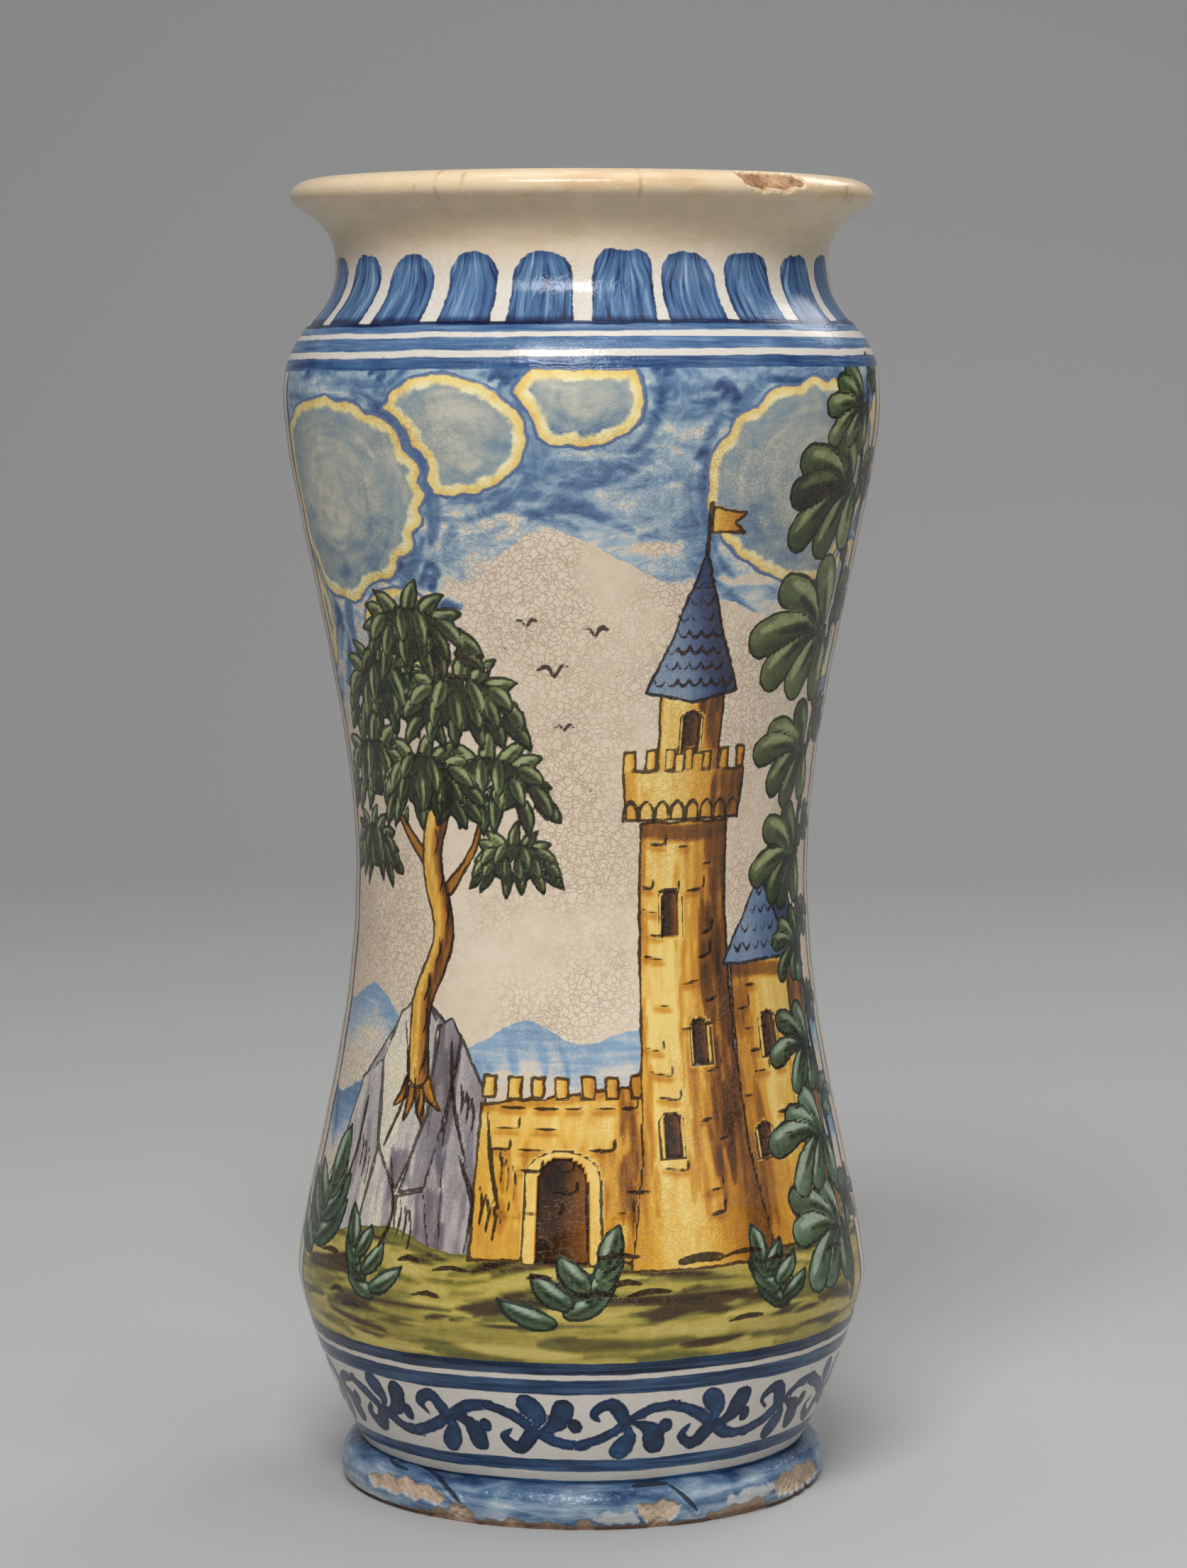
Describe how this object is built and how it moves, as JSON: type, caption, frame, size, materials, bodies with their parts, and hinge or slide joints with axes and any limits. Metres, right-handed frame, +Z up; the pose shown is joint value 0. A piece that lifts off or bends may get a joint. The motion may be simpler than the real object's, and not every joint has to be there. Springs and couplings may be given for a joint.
{
  "type": "albarello",
  "caption": "Waisted tin-glazed earthenware drug jar with a flared rolled rim, a sloping shoulder and an applied foot coil, luted from clay sections and glazed inside and out.",
  "frame": {"origin": "centre of the standing face under the foot coil, on the jar's axis", "axes": "+Z up along the jar's axis towards the mouth, -Y towards the painted front, +X to the right of someone who faces that front"},
  "size_m": [0.1368, 0.1368, 0.3],
  "materials": {
    "biscuit_clay": "unglazed fired earthenware, slightly rough",
    "clay_slip": "fired slip, matt",
    "painted_glaze": "opaque tin glaze, painted, crackled, semi-gloss",
    "cream_glaze": "opaque cream tin glaze, crackled, glossy",
    "blue_glaze": "opaque cobalt-blue glaze, glossy",
    "lining_glaze": "opaque cream glaze, thin and uneven, semi-gloss"
  },
  "bodies": {
    "root": {"thrown_body": "biscuit_clay", "thrown_collar": "biscuit_clay", "foot_coil": "biscuit_clay", "collar_slip_seam": "clay_slip", "foot_slip_seam": "clay_slip", "body_glaze": "painted_glaze", "collar_glaze": "cream_glaze", "foot_glaze": "blue_glaze", "lining_glaze": "lining_glaze"}
  },
  "joints": []
}
